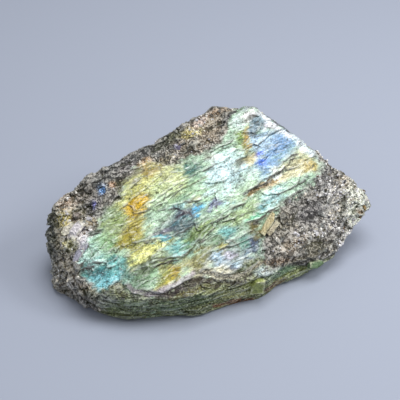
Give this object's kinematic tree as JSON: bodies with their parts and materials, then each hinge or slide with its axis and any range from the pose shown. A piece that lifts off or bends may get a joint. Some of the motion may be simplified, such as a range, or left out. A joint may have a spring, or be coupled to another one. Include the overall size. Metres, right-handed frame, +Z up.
{
  "type": "rough labradorite chunk",
  "caption": "Palm-sized chunk of rough labradorite: a wedge with a ledged, sloping cleaved face, a blunt crusted end and a thin tip.",
  "frame": {"origin": "centre of the bounding box seen from above, at the flat break the chunk lies on", "axes": "+X along the chunk towards its thin tip, +Y from the low front wall to the crest at the back, +Z up"},
  "size_m": [0.09, 0.058, 0.034],
  "materials": {
    "labradorite": "rough broken feldspar, glassy on the cleaved face, with blue, green and gold flashes"
  },
  "bodies": {
    "root": {"labradorite_chunk": "labradorite"}
  },
  "joints": []
}
